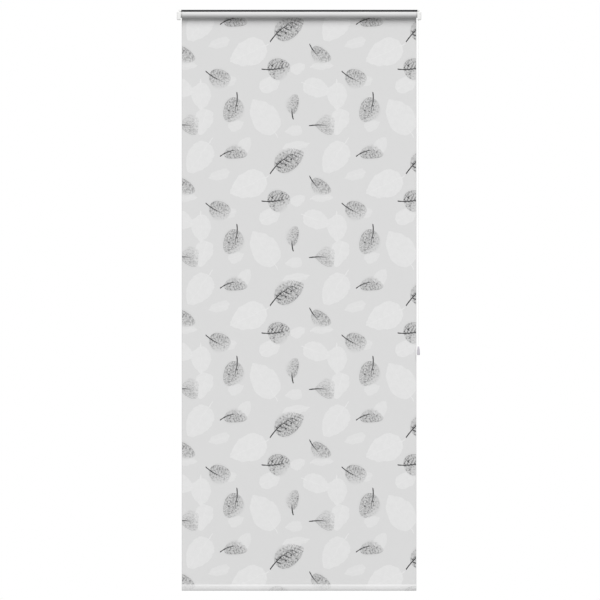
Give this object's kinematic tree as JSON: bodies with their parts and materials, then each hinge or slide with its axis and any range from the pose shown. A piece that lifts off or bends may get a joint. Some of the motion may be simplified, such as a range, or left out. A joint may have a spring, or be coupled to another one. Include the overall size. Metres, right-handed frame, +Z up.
{
  "type": "shower roller blind with head rail",
  "caption": "Printed shower roller blind on a slim roller under a ceiling-fixed head rail, with a weighted hem and a pull cord with a bell-shaped pull at its right-hand end.",
  "frame": {"origin": "middle of the whole housing, end to end and front to back, at the level of the rail's top face, which lies against the ceiling", "axes": "+Z up; X along the rail, with the drive and cord at +X; -Y faces the room, the side of the print"},
  "size_m": [1.01, 0.0369, 2.4],
  "materials": {
    "rail_aluminium": "extruded, dark anodised, satin",
    "tube_aluminium": "drawn, mill finish",
    "white_moulding": "moulded ABS, low gloss",
    "grey_moulding": "moulded acetal, satin",
    "steel": "bright turned steel",
    "blind_cloth": "coated polyester, matt, printed with grey leaves",
    "bar_aluminium": "extruded flat oval bar, mill finish",
    "white_cord": "braided polyester cord",
    "pull_plastic": "moulded acrylic, smooth"
  },
  "bodies": {
    "root": {"head_rail": "rail_aluminium", "bracket_left": "white_moulding", "cover_left": "white_moulding", "bracket_right": "white_moulding", "cover_right": "white_moulding", "cloth": "blind_cloth", "bottom_bar": "bar_aluminium", "roller_tube": "tube_aluminium", "idle_plug": "grey_moulding", "idle_pin": "steel", "drive_plug": "grey_moulding", "cord_spool": "grey_moulding", "cord_winding": "white_cord", "cord_eyelet": "steel", "cord": "white_cord", "pull": "pull_plastic", "cord_knot": "white_cord"}
  },
  "joints": []
}
